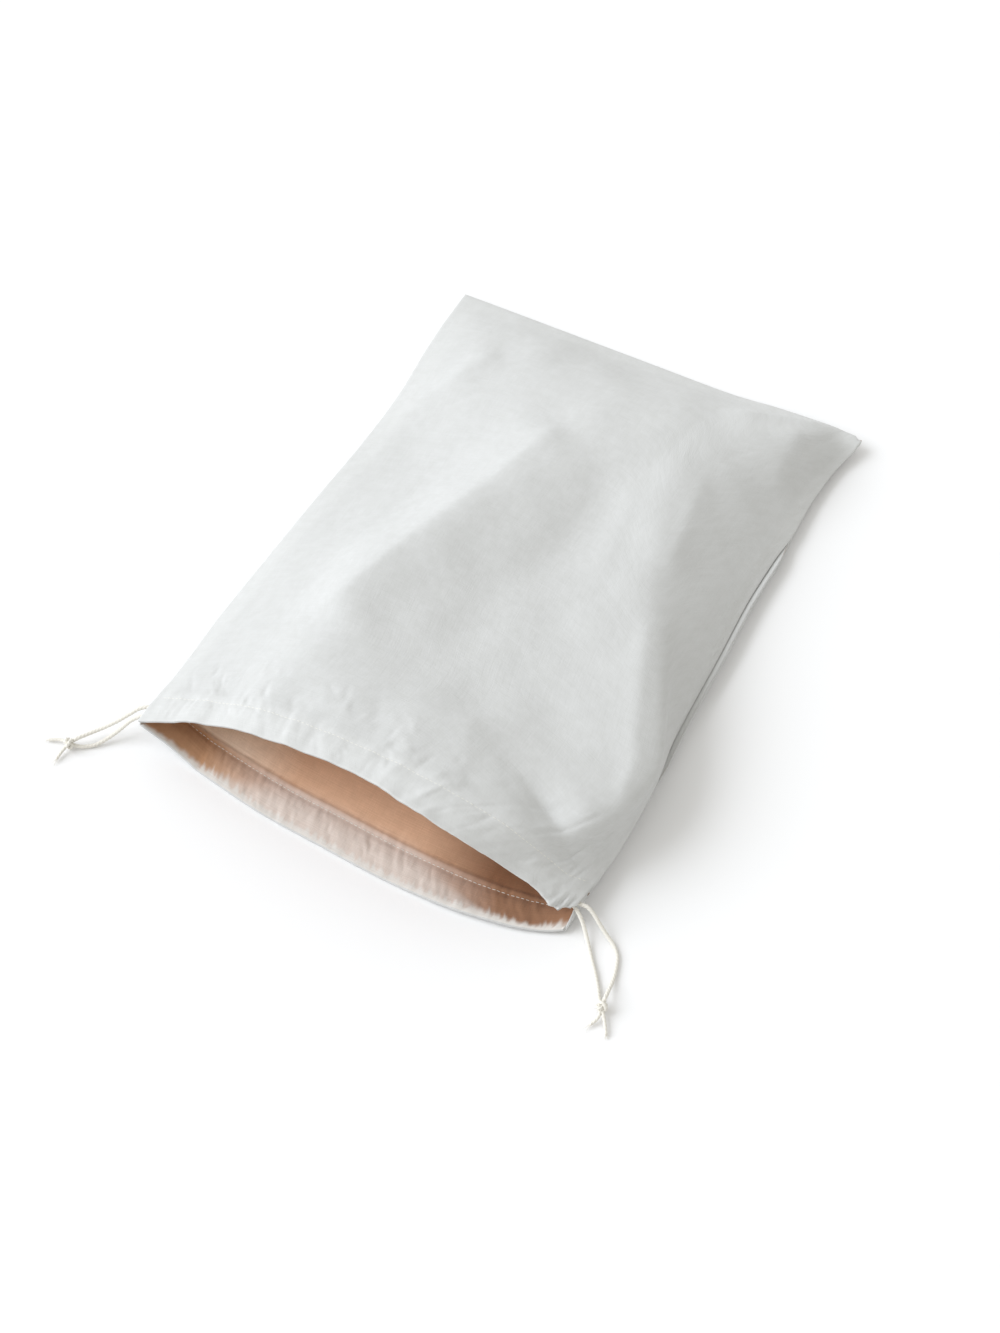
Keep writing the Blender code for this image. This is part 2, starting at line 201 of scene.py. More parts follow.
# what both cloths share; mm
cloth = {
    "flat": (300.0, 405.0),    # each cloth before sewing and hemming, mm
    "thickness": 0.8,
    "hemThickness": 1.9,       # two turned layers with the drawcord's channel
    "hemDepth": 19.0,
    "hemStep": 1.6,
    "channelAt": 10.0,
    "channelWidth": 4.0,
    "channelBulge": 0.45,
    "stitchAt": 16.8,
    "stitchWidth": 1.4,
    "stitchPinch": 0.5,        # how much thinner the hem is under its stitches, and how far
    "stitchDip": 0.25,         # its outer face dips there
    "hemTurns": 6,             # rows round the folded edge: an even number lets the sides close
    "outerTurns": 2,           # how many of them keep the outer look
    "puckerSwing": (0.3, 83.0, 1.0),    # how the puckers vary along the hem: share, length, phase
    "puckerSkew": 0.05,
    "rollSteps": 5,
    "rollBulge": 1.15,         # how far an edge swells before it turns in to the seam
    "seamThickness": 0.3,
    "seamDrop": 0.3,           # the seam line below the front cloth's underside
    "seamAllowance": 11.0,
    "endSeamIn": 0.5,          # how far each seam lies in from its edge
    "leftSeamIn": 0.5,
    "rightSeamIn": 0.4,
    # along the right seam the back cloth swells up beside the front one and leaves a groove;
    # it runs between two places along the bag and fades at both
    "grooveFrom": -104.0,
    "grooveTo": 118.0,
    "grooveFade": 30.0,
    "grooveIn": 2.0,           # how far the front cloth's edge draws in, over what reach, and
    "grooveInReach": 14.0,     # how much less its seam does
    "grooveTuck": 0.5,
    "grooveDrop": 0.9,
    "grooveOut": 2.8,          # the swelling, out and up
    "grooveUp": 2.4,
}

sectionColumns = ("along", "leftX", "leftZ", "leftBulge", "ridgeX", "ridgeZ", "hollowX",
                  "hollowZ", "crestX", "crestZ", "rightBulge", "rightX", "rightZ")
foldColumns = ("start", "end", "height", "rounding", "leftReach", "rightReach", "endFade")
frontCloth = {
    # a row for each cross section from the mouth to the closed end, its points from left to right
    "sections": (
        (-192, -147, 20.0, 2.0, -60, 56, -5, 61, 58, 45, 2.2, 129.5, 13.5),
        (-150, -147.7, 13.5, -0.2, -69, 51, 4, 56.5, 115, 44.0, 2.0, 134, 11.0),
        (-105, -149, 9.5, -0.1, -68, 50, -5, 48.3, 130, 38.5, 3.8, 135, 10.0),
        (-50, -147.9, 6.0, -1.2, -63.5, 49.5, 3.5, 44.3, 112, 41, 1.0, 132.5, 9.5),
        (5, -145.6, 4.5, -4.3, -42, 46.4, 21.5, 40.3, 85.6, 42.2, 3.0, 132, 9.0),
        (55, -142.5, 3.7, -3.4, -25, 42, 24.5, 38.5, 70.5, 41.0, 2.6, 131, 8.0),
        (100, -141.2, 4.0, 3.6, -22.5, 37.5, 14, 40.1, 66.7, 39.5, 3.2, 133, 7.0),
        (150, -145, 3.0, 4.2, -19, 29.5, 29.5, 33.5, 84, 31.5, 3.8, 133.5, 6.0),
        (185, -146, 2.8, 4.0, -10, 11.2, 37, 14.8, 111, 18.8, 1.8, 138.5, 6.0),
        (204, -146, 2.1, 0.0, -8, 2.7, 50, 3.1, 118, 9.0, 0.0, 145.3, 8.0),
    ),
    "hollowBulge": 0.8,        # above a straight run from the hollow to the crest
    "mouthLeftLead": 6.0,      # the left end of the hem reaches this far past its row
    # the right end of the hem draws back by a lag that fades over a width and a length, mm
    "mouthRightLag": (7.0, 16.0, 45.0),
    "farRightLag": (3.6, 8.0, 12.0),     # the same at the blunt far right corner
    "farRightDraw": 2.8,       # how far that corner draws in sideways
    "endFlat": 7.0,            # folds die out over this length before the closed end,
    "seamFlat": 0.8,           # and over this share of a section's first and last runs
    # the hem's own rise over its row, for each named point, and how it leans as it rises
    "mouthRise": (0.0, -3.5, -4.5, -3.5, 6.5, 8.0, -1.5, 0.0),
    "mouthLean": (0.313, -0.603, 1.0),
    "skin": 1.3,               # outer skin above the sections, mm
    "hemRise": 0.6,            # more over the hem, fading from here on over this length
    "hemRiseFrom": 20.0,
    "hemRiseFade": 10.0,
    # folds along straight lines on the cloth; a negative height is a dip
    "folds": (
        ((-80, -93), (-24.5, 96), 4.3, 3.0, 14.0, 15.3, 24.0),
        ((-142, 60), (-98, 152), 3.4, 2.8, 13.5, 11.5, 20.0),
        ((-134, 20), (-85, 100), -0.6, 6.0, 14.0, 14.0, 30.0),
        ((91, -17.5), (121, -98), 2.8, 3.0, 8.5, 14.5, 25.0),
        ((123.5, -93), (128.5, -129), 2.6, 2.7, 10.0, 7.5, 18.0),
        ((74, 106), (84.6, 30), 2.8, 3.0, 14.0, 11.5, 25.0),
        ((114.5, 167), (77, 111), 0.7, 4.0, 12.0, 12.0, 20.0),
        ((66, 174), (120, 200), 3.0, 1.6, 7.0, 11.0, 24.0),
        ((108, 178), (111, 130), 3.2, 3.0, 14.0, 13.0, 16.0),
        ((98, -160), (101, -154), -11.0, 12.0, 14.0, 15.0, 36.0),
        ((54, -190), (32, -124), 2.6, 3.0, 30.0, 16.0, 22.0),
    ),
    "columnSteps": (40, 40, 48, 42, 36, 30, 26),     # grid steps between a section's points
    "rowStops": (-192, -167, -110, 170, 204),        # and along the bag
    "rowSteps": (28, 34, 78, 14),
    # gathers drawn up by the cord: wave length, height, phase, reach from the mouth; the broad
    # ones bend the whole cloth and the fine ones only its outer face
    "broadGathers": ((31.0, 0.35, 31.0, 50.0), (22.0, 0.30, 22.0, 50.0)),
    "fineGathers": ((13.1, 0.08, 0.4, 48.0), (10.3, 0.07, 2.1, 42.0)),
    # short puckers across the hem: wave length, height, phase
    "puckers": ((7.3, 0.07, 0.0), (5.4, 0.05, 1.3), (11.7, 0.06, 2.2)),
    "puckersAt": 16.0,
    "puckersWidth": 10.0,
    "waves": 16,               # faint waves of a stiff cloth
    "waveLengths": (26.0, 70.0),
    "waveHeight": 0.10,
    "waveSeed": 11,
    # small wrinkles scattered about the hem: how many, where, how they lean, and their sizes, mm
    "creases": {"seed": 4, "count": 240, "across": (14.0, 288.0), "depth": (2.0, 50.0),
                "crowding": 1.3, "lean": 0.25, "leanSpread": 0.34, "widths": (1.0, 2.4),
                "lengths": (2.0, 8.0), "heights": (-0.58, 0.46)},
    # the casing's open end at the right corner: the bell's middle in from the side, its width,
    # its reach from the mouth, how far it spills out and sinks, and its ruffles
    "ruffle": {"middle": 9.24, "width": 7.92, "depth": 9.0, "spill": 6.5, "spillSwing": 0.2,
               "sink": 1.2, "height": 1.4, "length": 6.2, "skew": 0.35},
}

backCloth = {
    # how far the hem reaches past a straight line between the mouth's corners, by share of width
    "mouthBulge": ((0.0, 0.0), (0.06, 0.6), (0.15, 5.9), (0.32, 15.4), (0.44, 19.2),
                   (0.66, 25.0), (0.82, 24.8), (0.93, 19.6), (0.985, 14.0), (1.0, 12.0)),
    "bulgeReach": 62.0,
    "footMargin": 8.0,         # a side leaves the surface this far in, and this many times
    "footRatio": 1.9,          # the height of its seam
    "footPower": 1.5,
    "rightRoll": 2.6,          # how far the right side rolls out, in full from a seam this high
    "rollHeight": 8.0,
    "swellPower": 4,           # how the swelling beside the groove grows towards the seam
    "droop": 0.75,             # share of its height that the right side loses at the mouth
    "droopReach": 22.0,
    "endFoot": 24.0,
    "leastThickness": 0.5,     # under the wrinkles of the hem
    "seamGap": 0.6,            # between the two cloths at the seams
    "fullThickness": 1.5,      # from the seam down to the underside, with the gap: beyond the
    "fullHemThickness": 2.6,   # hem, at the hem, and the length from one to the other
    "fullHemStep": 4.0,
    "sideSteps": 18,
    "middleSteps": 228,
    "lipAt": 0.84,             # the hem curls up off the surface towards the right corner
    "lipWidth": 0.13,
    "lipRise": 2.2,
    "lipDepth": 10.0,
    "gathers": ((17.0, 0.10, 0.3, 34.0), (9.6, 0.06, 1.9, 30.0)),
    "puckers": ((7.9, 0.10, 0.8), (5.1, 0.06, 2.9), (12.3, 0.08, 1.0)),
    "puckersAt": 15.0,
    "puckersWidth": 9.0,
    "creases": {"seed": 9, "count": 230, "across": (10.0, 285.0), "depth": (1.5, 19.0),
                "crowding": 1.0, "lean": -0.35, "leanSpread": 0.3, "widths": (0.8, 1.7),
                "lengths": (1.6, 4.6), "heights": (-0.45, 0.34)},
}

# painted light and shade on the inner face: warm tan to brown tints paint the warm light bounced
# about inside the bag and its shade, with a lit pale rim; each ramp is read by the distance across
# from the left seam, mm
paintedInside = {
    "rim": "#e4e0db",          # painted light on the folded edge: its paleness, and how wide it is
    "rimWidth": ((0, 2.0), (45, 4.5), (70, 9.0), (92, 17.0), (115, 25.0), (190, 25.0), (235, 6.0),
                 (262, 3.2), (290, 9.0), (330, 9.0)),
    "toothReach": 6.5,         # the full paleness and its teeth stop here at the latest,
    "toothFull": 0.2,          # and start to fade at this share of their reach
    "paleShare": 0.5,          # past them the rest of the rim is this pale,
    "paleFull": 0.3,           # and starts to fade at this share of its width
    # painted warm bounce light and shade on the hem: darker at the left corner, darkest towards
    # the right side
    "hem": ((0, "#bc916f"), (45, "#bc916f"), (95, "#d4bcae"), (195, "#d4bcae"),
            (245, "#9c7459"), (330, "#9c7459")),
    # painted warm bounce light and shade beyond the hem: lightest at the left, darkest towards the
    # right side
    "body": ((0, "#fbe8d4"), (60, "#fbe4ce"), (105, "#e8be9e"), (190, "#e8be9e"),
             (240, "#94694c"), (330, "#94694c")),
    "bodyLead": 1.0,           # the body's tone starts this far before the hem's depth
    "bodyFade": 2.5,
    # the rim's toothed edge, where the puckers' shade is painted: two wave lengths, the drift of
    # each, their share of the width
    "teeth": ((4.3, 27.0, 0.26), (6.7, 41.0, 0.24)),
    "teethDrift": 3.0,
    "seamMargin": 8.0,         # the turned edge beside the groove keeps the outer colour,
    "seamPlain": 2.0,          # in full this far in
}


def sectionPoints(row):
    # the eight named points of a cross section; a bulge stands out at right angles to its slope
    s = dict(zip(sectionColumns, row))
    left, ridge = np.array((s["leftX"], s["leftZ"])), np.array((s["ridgeX"], s["ridgeZ"]))
    crest, right = np.array((s["crestX"], s["crestZ"])), np.array((s["rightX"], s["rightZ"]))
    hollow = np.array((s["hollowX"], s["hollowZ"]))

    def bulged(a, b, bulge):
        # the middle of a run, moved at right angles to it
        run = b - a
        return (a + b) / 2 + np.array((-run[1], run[0])) / np.hypot(*run) * bulge

    flat = np.stack((left, bulged(left, ridge, s["leftBulge"]), ridge, hollow,
                     (hollow + crest) / 2 + np.array((0.0, frontCloth["hollowBulge"])), crest,
                     bulged(crest, right, s["rightBulge"]), right))
    return np.stack((flat[:, 0], np.full(len(flat), float(s["along"])), flat[:, 1]), axis=1)


def foldLift(x, y):
    # sum of height * exp(-rounded distance / reach), dying away over both ends of each fold
    lift = np.zeros_like(x)
    for row in frontCloth["folds"]:
        f = dict(zip(foldColumns, row))
        start, end = np.array(f["start"], float), np.array(f["end"], float)
        length = np.hypot(*(end - start))
        run = (end - start) / length
        along = (x - start[0]) * run[0] + (y - start[1]) * run[1]
        aside = (y - start[1]) * run[0] - (x - start[0]) * run[1]
        distance = np.sqrt(aside ** 2 + f["rounding"] ** 2) - f["rounding"]
        reach = np.where(aside > 0, f["leftReach"], f["rightReach"])
        inside = np.minimum(along, length - along) + f["endFade"] / 2
        lift += f["height"] * np.exp(-distance / reach) * (1 - fade(inside, f["endFade"]))
    return lift


def gatherLift(across, fromMouth, rows):
    # sum of height * sin(2 pi across / length + phase), each fading away from the mouth
    lift = np.zeros(np.broadcast(across, fromMouth).shape)
    for length, height, phase, reach in rows:
        lift += height * np.sin(2 * math.pi * across / length + phase) * fade(fromMouth, reach)
    return lift


def puckerLift(across, fromMouth, piece):
    # short waves in a band about the channel: a sum of sines, times a bell across the band and
    # a slow swing along it
    bell = np.exp(-((fromMouth - piece["puckersAt"]) / piece["puckersWidth"]) ** 2)
    share, length, phase = cloth["puckerSwing"]
    swing = 1 - share + share * np.sin(2 * math.pi * across / length + phase)
    lift = sum(h * np.sin(2 * math.pi * across / n + p + cloth["puckerSkew"] * fromMouth)
               for n, h, p in piece["puckers"])
    return lift * bell * swing


def creaseLift(u, v, c):
    # sum of height * exp(-(aside / width)^2 - (along / length)^2) over scattered short wrinkles
    rng = np.random.default_rng(c["seed"])
    lift = np.zeros(np.broadcast(u, v).shape)
    for _ in range(c["count"]):
        across = u - rng.uniform(*c["across"])
        near, far = c["depth"]
        inward = v - near - (far - near) * rng.uniform() ** c["crowding"]
        lean = rng.normal(c["lean"], c["leanSpread"])
        width, length, height = (rng.uniform(*c[k]) for k in ("widths", "lengths", "heights"))
        along = inward * math.cos(lean) - across * math.sin(lean)
        aside = across * math.cos(lean) + inward * math.sin(lean)
        lift += height * np.exp(-(aside / width) ** 2 - (along / length) ** 2)
    return lift


def ruffled(outer, u, v):
    # the casing's end spills out towards the mouth in a bell and waves up and down across it
    r = frontCloth["ruffle"]
    side = u[:, -1:] - u
    bell = np.exp(-((side - r["middle"]) / r["width"]) ** 2) * fade(v, r["depth"])
    waves = np.sin(2 * math.pi * (side + r["skew"] * v) / r["length"])
    outer[..., 1] -= r["spill"] * bell * (1 - r["spillSwing"] + r["spillSwing"] * waves)
    outer[..., 2] += bell * (r["height"] * waves - r["sink"])


def ramp(stops, at):
    # colours or numbers joined by straight runs between the stops
    where = [stop[0] for stop in stops]
    values = [hexColour(v) if isinstance(v, str) else (v,) for _, v in stops]
    return np.stack([np.interp(at, where, channel) for channel in zip(*values)], axis=-1)


def paintedInsideTint(u, v, along):
    # painted light and shade: pale where the rim is lit, with a toothed edge of painted pucker
    # shade, then the hem's painted bounce light and shade, then those of the cloth beyond it
    u, v = np.broadcast_arrays(u, v)
    teeth = sum(share * np.sin(2 * math.pi * u / pitch
                               + paintedInside["teethDrift"] * np.sin(2 * math.pi * u / drift))
                for pitch, drift, share in paintedInside["teeth"])
    width = ramp(paintedInside["rimWidth"], u)[..., 0]
    toothed = np.minimum(width, paintedInside["toothReach"]) * (1 + teeth)
    full, pale = paintedInside["toothFull"], paintedInside["paleFull"]
    toothedRim = fade(v - full * toothed, (1 - full) * toothed)
    paleRim = paintedInside["paleShare"] * fade(v - pale * width, (1 - pale) * width)
    rim = np.maximum(toothedRim, paleRim)[..., None]
    beyond = 1 - fade(v - cloth["hemDepth"] + paintedInside["bodyLead"], paintedInside["bodyFade"])[..., None]
    inner = ramp(paintedInside["hem"], u) * (1 - beyond) + ramp(paintedInside["body"], u) * beyond
    tint = inner * (1 - rim) + np.array(hexColour(paintedInside["rim"])) * rim
    margin = fade(u[:, -1:] - u - paintedInside["seamPlain"], paintedInside["seamMargin"]) * grooveShare(along)
    tint = tint + (np.array(hexColour(linen["outside"][0])) - tint) * margin[..., None]
    k = cloth["rollSteps"]
    return np.pad(tint, ((0, k), (k, k), (0, 0)), mode="edge")


def doublingAndShadeTint(u, v):
    # 1, and lighter by the gain where the hem and the seam allowances lie double: partly the
    # doubled cloth's own paleness, partly painted light, as less of the shade beneath shows
    # through
    u, v = np.broadcast_arrays(u, v)
    (hemLead, hemFade), (seamLead, seamFade) = linen["doubledFades"]
    hem = fade(v - cloth["hemDepth"] + hemLead, hemFade)
    inward = np.minimum(np.minimum(u, u[:, -1:] - u), v[-1:] - v)
    share = np.maximum(hem, fade(inward - cloth["seamAllowance"] + seamLead, seamFade))
    k = cloth["rollSteps"]
    return np.pad(1 + linen["doubledGain"] * share, ((0, k), (k, k)), mode="edge")


def grooveShare(along):
    # 1 where the right seam lies in a groove, 0 beyond its ends
    c = cloth
    return (1 - fade(along - c["grooveFrom"], c["grooveFade"])) * fade(
        along - c["grooveTo"] + c["grooveFade"], c["grooveFade"])


def waveLift(x, y):
    # a sum of plane waves, height * sin(distance along a heading * 2 pi / length + phase), whose
    # headings, lengths and phases are drawn from one seed
    rng = np.random.default_rng(frontCloth["waveSeed"])
    count = frontCloth["waves"]
    heading = rng.uniform(0, math.pi, count)
    number = 2 * math.pi / rng.uniform(*frontCloth["waveLengths"], count)
    phase = rng.uniform(0, 2 * math.pi, count)
    travel = x[..., None] * np.cos(heading) + y[..., None] * np.sin(heading)
    return frontCloth["waveHeight"] * np.sin(travel * number + phase).sum(axis=-1)


def frontUnderside():
    # rails run the length of the bag through the sections; each row is a curve through its rails
    rows = frontCloth["sections"]
    sections = np.stack([sectionPoints(row) for row in rows])
    sections[0, 0, 1] -= frontCloth["mouthLeftLead"]
    sections[0] += np.outer(frontCloth["mouthRise"], frontCloth["mouthLean"])
    stations = [row[0] for row in rows]
    along = stepped(frontCloth["rowStops"], frontCloth["rowSteps"])
    runs = np.arange(sections.shape[1])
    rails = np.stack([smoothThrough(stations, sections[:, k], along) for k in runs], axis=1)
    across = stepped(runs, frontCloth["columnSteps"])
    grid = np.stack([smoothThrough(runs, row, across) for row in rails])
    aside = grid[:, -1:, 0] - grid[..., 0]
    lag, width, length = frontCloth["mouthRightLag"]
    grid[..., 1] += lag * fade(aside, width) * fade(along - along[0], length)[:, None]
    lag, width, length = frontCloth["farRightLag"]
    blunt = fade(aside, width) * fade(along[-1] - along, length)[:, None]
    grid[..., 0] -= frontCloth["farRightDraw"] * blunt
    grid[..., 1] -= lag * blunt
    edge = np.minimum(across, runs[-1] - across)[None, :]
    inner = 1 - fade(edge, frontCloth["seamFlat"])
    end = 1 - fade(stations[-1] - along, frontCloth["endFlat"])[:, None]
    fromMouth = (along - along[0])[:, None] + 0 * edge
    lift = (foldLift(grid[..., 0], grid[..., 1]) + waveLift(grid[..., 0], grid[..., 1])) * end
    lift = lift + gatherLift(grid[..., 0], fromMouth, frontCloth["broadGathers"])
    grid[..., 2] += lift * inner
    return grid, fromMouth


def backUnderside(front, fromMouth):
    # flat on the surface; each side climbs to its seam as (share of the way) ^ power, and the
    # hem reaches out past a straight line between the mouth's corners
    b = backCloth
    left, right = front[:, 0], front[:, -1]
    hem = fade(fromMouth[:, 0] - cloth["hemDepth"], b["fullHemStep"])
    drop = b["seamGap"] + b["fullThickness"] * (1 - hem) + b["fullHemThickness"] * hem
    leftZ, rightZ = left[:, 2] - drop, right[:, 2] - drop
    rightZ = rightZ * (1 - b["droop"] * fade(fromMouth[:, 0], b["droopReach"]))
    leftFoot = left[:, 0] + b["footMargin"] + b["footRatio"] * leftZ
    rightFoot = right[:, 0] - b["footMargin"] - b["footRatio"] * rightZ
    climb = np.linspace(1, 0, b["sideSteps"], endpoint=False)
    middle = np.linspace(0, 1, b["middleSteps"] + 1)[None, :]
    leftX = leftFoot[:, None] + (left[:, 0] - leftFoot)[:, None] * climb
    leftRise = leftZ[:, None] * climb ** b["footPower"]
    middleX = leftFoot[:, None] + (rightFoot - leftFoot)[:, None] * middle
    climb = climb[::-1]
    roll = b["rightRoll"] * np.sin(math.pi * climb) * np.clip(
        rightZ / b["rollHeight"], 0.0, 1.0)[:, None]
    rightX = rightFoot[:, None] + (right[:, 0] - rightFoot)[:, None] * climb + roll
    swell = grooveShare(right[:, 1])[:, None] * climb ** b["swellPower"]
    rightX = rightX + cloth["grooveOut"] * swell
    rightRise = rightZ[:, None] * climb ** b["footPower"] + cloth["grooveUp"] * swell
    x = np.concatenate((leftX, middleX, rightX), axis=1)
    z = np.concatenate((leftRise, 0 * middleX, rightRise), axis=1)
    share = (x - x[:, :1]) / (x[:, -1:] - x[:, :1])
    y = left[:, 1:2] + (right[:, 1:2] - left[:, 1:2]) * share
    endEdge = np.interp(x, front[-1, :, 0], front[-1, :, 2]) - drop[-1]
    z = np.maximum(z, endEdge * fade(front[-1, 0, 1] - y, b["endFoot"]))
    bulge = smoothThrough([k[0] for k in b["mouthBulge"]], [k[1] for k in b["mouthBulge"]],
                          share.ravel()).reshape(share.shape)
    y = y - bulge * fade(fromMouth[:, :1], b["bulgeReach"])
    lip = b["lipRise"] * np.exp(-((share - b["lipAt"]) / b["lipWidth"]) ** 2)
    z = z + lip * fade(fromMouth[:, :1], b["lipDepth"])
    return np.stack((x, y, z), axis=-1)


def turnedTo(edge, out, seam, seamOut):
    # cubic Bezier rows from a cloth's edge, out along the cloth, round and in to the seam line
    t = np.linspace(0, 1, cloth["rollSteps"] + 1)[1:, None, None]
    bulge = cloth["rollBulge"]
    return ((1 - t) ** 3 * edge + 3 * (1 - t) ** 2 * t * (edge + out * bulge)
            + 3 * (1 - t) * t * t * (seam + seamOut * bulge) + t ** 3 * seam)


def seamLines(front):
    # the two side seams, a little in from the edges, and the closed end's height by x
    fore = front.copy()
    fore[..., 2] -= cloth["seamDrop"]
    left, right, end = fore[:, 0], fore[:, -1], fore[-1]
    left[:, 0] += cloth["leftSeamIn"]
    held = grooveShare(front[:, -1, 1])
    right[:, 0] -= cloth["rightSeamIn"] + (cloth["grooveIn"] - cloth["grooveTuck"]) * held
    right[:, 2] -= cloth["grooveDrop"] * held
    return left, right, end


def withSeams(grid, seams):
    # the grid with its side edges and closed end turned in to the seams
    left, right, end = seams
    held = grooveShare(grid[:, -1, 1])
    upright = np.stack((1 - held, 0 * held, held), axis=-1)
    leftTurn = turnedTo(grid[:, 0], unit(grid[:, 0] - grid[:, 1]), left, np.array((-1.0, 0, 0)))
    rightTurn = turnedTo(grid[:, -1], unit(grid[:, -1] - grid[:, -2]), right, upright)
    wide = np.concatenate((leftTurn[::-1], grid.transpose(1, 0, 2), rightTurn))
    wide = wide.transpose(1, 0, 2)
    last = wide[-1]
    seam = np.stack((last[:, 0], np.full(len(last), end[0, 1] - cloth["endSeamIn"]),
                     np.interp(last[:, 0], end[:, 0], end[:, 2])), axis=-1)
    tail = turnedTo(last, unit(last - wide[-2]), seam, np.array((0, 1.0, 0)))
    return np.concatenate((wide, tail))


def withMargins(values, edgeValue):
    # a grid of values spread over the turned edges, running from its own to the edge value
    k = cloth["rollSteps"]
    share = np.linspace(0, 1, k + 1)[1:]
    wide = np.concatenate((values[:, :1] + (edgeValue - values[:, :1]) * share[::-1], values,
                           values[:, -1:] + (edgeValue - values[:, -1:]) * share), axis=1)
    tail = wide[-1] + (edgeValue - wide[-1]) * share[:, None]
    return np.concatenate((wide, tail))


def hemProfile(fromMouth):
    # the thickness of one layer, or of the hem, less a pinch under the stitches; and the bell by
    # which the drawcord swells its channel, less the stitches' dip
    hem = fade(fromMouth - cloth["hemDepth"], cloth["hemStep"])
    channel = np.exp(-((fromMouth - cloth["channelAt"]) / cloth["channelWidth"]) ** 2)
    pinch = np.exp(-((fromMouth - cloth["stitchAt"]) / cloth["stitchWidth"]) ** 2)
    thickness = cloth["thickness"] + (cloth["hemThickness"] - cloth["thickness"]) * hem
    swell = cloth["channelBulge"] * channel - cloth["stitchDip"] * pinch
    return thickness - cloth["stitchPinch"] * pinch, swell


def clothPiece(name, outer, thickness, outward, outerTint, innerTint):
    # outer skin, a half-round folded edge at the mouth, and an inner skin one thickness in, closed
    # by walls at the sides and the end; outward is 1 where the outer skin faces up, -1 where down
    normal = gridNormals(outer) * outward
    inner = outer - normal * thickness[..., None]
    uv = np.stack((arcLength(outer, 1), arcLength(outer, 0)), axis=-1)
    uv[..., 0] += (uv[:1, -1:, 0] - uv[:, -1:, 0]) / 2
    turns = np.linspace(0, math.pi, cloth["hemTurns"] + 2)[1:-1][:, None, None]
    radius = thickness[0][:, None] / 2
    middle, ahead = (outer[0] + inner[0]) / 2, unit(outer[0] - outer[1])
    rim = middle + radius * (normal[0] * np.cos(turns) + ahead * np.sin(turns))
    skin = np.concatenate((outer[::-1], rim, inner))
    uvs = np.concatenate((uv[::-1], np.repeat(uv[:1], len(rim), axis=0), uv))
    rows, columns = skin.shape[:2]
    ids = np.arange(rows * columns).reshape(rows, columns)
    faces = gridFaces(ids, flipped=outward > 0)
    back, half = ids[::-1], rows // 2 - 1
    sideA = np.stack((ids[:-1, 0], ids[1:, 0], back[1:, 0], back[:-1, 0]), axis=-1)[:half]
    sideB = np.stack((ids[:-1, -1], back[:-1, -1], back[1:, -1], ids[1:, -1]), axis=-1)[:half]
    end = np.stack((ids[0, :-1], ids[-1, :-1], ids[-1, 1:], ids[0, 1:]), axis=-1)
    walls = np.concatenate((sideA, sideB, end))
    if outward > 0:
        walls = walls[:, ::-1]
    kept = cloth["outerTurns"]
    inside = np.arange(rows - 1) >= len(outer) + kept
    slots = np.concatenate((np.repeat(inside, columns - 1), np.zeros(len(walls), dtype=bool)))
    outerTint = np.concatenate((outerTint[::-1], np.repeat(outerTint[:1], kept, axis=0)))
    outerTint = np.repeat(outerTint[..., None], 4, axis=-1)
    pale = np.broadcast_to(hexColour(linen["outside"][0]), (len(rim) - kept, columns, 4))
    tint = np.concatenate((outerTint, pale, innerTint)).reshape(-1, 4)
    piece = newPiece(name, placed(skin.reshape(-1, 3)), np.concatenate((faces, walls)),
                     [linenOutside, linenInside], slots, uvs.reshape(-1, 2) * mm, tint)
    return piece, inner


# how the cloth and the cotton look; lengths in mm
linen = {
    "outside": ("#cccccb", "#c3c3c1"),       # light and dark of the slubs
    "inside": ("#ffffff", "#efedeb"),        # laid over the painted light and shade of the inner face
    "doubledGain": 0.05,       # how much lighter the cloth is where it lies double, partly painted light: less shade shows through
    # for the hem, then the seams: how far before the edge that starts to fade, and over what
    "doubledFades": ((3.0, 9.0), (5.0, 10.0)),
    "threadPitch": 0.85,       # mm between threads, drawn a little coarse so that they show
    "slubLength": 26.0,
    "slubWidth": 0.8,
    "slubSeeds": (1.0, 5.0),
    "slubDetail": (2.0, 0.6),      # octaves and roughness of the noise
    "mottleSize": 7.0,
    "mottleDetail": (4.0, 0.62),
    "slubShare": 0.55,             # beside the mottling, in the tone
    "toneRange": (0.75, 1.35),     # where the tone is dark and where it is light
    "weaveHeight": 0.10,           # beside the slubs, in the bump
    "mottleHeight": 1.6,
    "bumpStrength": 0.55,
    "bumpDepth": 0.22,
    "roughness": 0.9,
    "specular": 0.15,
    "sheen": 0.12,
    "sheenRoughness": 0.6,
}
cotton = {
    "cord": ("#e3dfd6", 0.6),      # colour, and the size of its fibres
    "thread": ("#dcdad3", 0.4),
    "fibreDetail": 3.0,
    "bumpStrength": 0.4,
    "bumpDepth": 0.1,
    "roughness": 0.85,
    "specular": 0.2,
    "sheen": 0.1,
}


